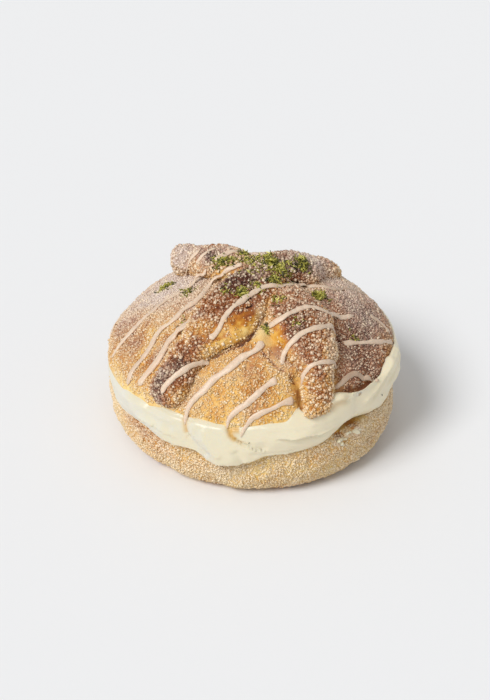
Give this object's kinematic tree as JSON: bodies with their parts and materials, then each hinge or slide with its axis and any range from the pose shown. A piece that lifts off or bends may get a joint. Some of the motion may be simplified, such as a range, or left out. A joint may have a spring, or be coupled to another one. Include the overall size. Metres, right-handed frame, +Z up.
{
  "type": "filled pan de muerto",
  "caption": "Round sweet bread cut across and filled with cream, its domed top crossed by lumpy dough strips under sugar, icing lines and lime zest.",
  "frame": {"origin": "middle of the flat base, at the bottom of the bounding box", "axes": "+Z up through the crown, front towards -Y, width along X"},
  "size_m": [0.1177, 0.1165, 0.069],
  "materials": {
    "bun_crust": "pale golden bread crust coated in sugar grains",
    "cream": "soft satin ivory cream with spatula marks",
    "crown_crust": "golden brown bread crust coated in sugar grains",
    "strip_crust": "darker browned crust coated in sugar grains",
    "sugar": "translucent white sugar grains",
    "icing": "soft white piped icing, satin",
    "zest": "finely grated lime peel, moist"
  },
  "bodies": {
    "root": {"bottom_bun": "bun_crust", "cream_filling": "cream", "crown": "crown_crust", "strip_over": "strip_crust", "strip_under": "strip_crust"}
  },
  "joints": []
}
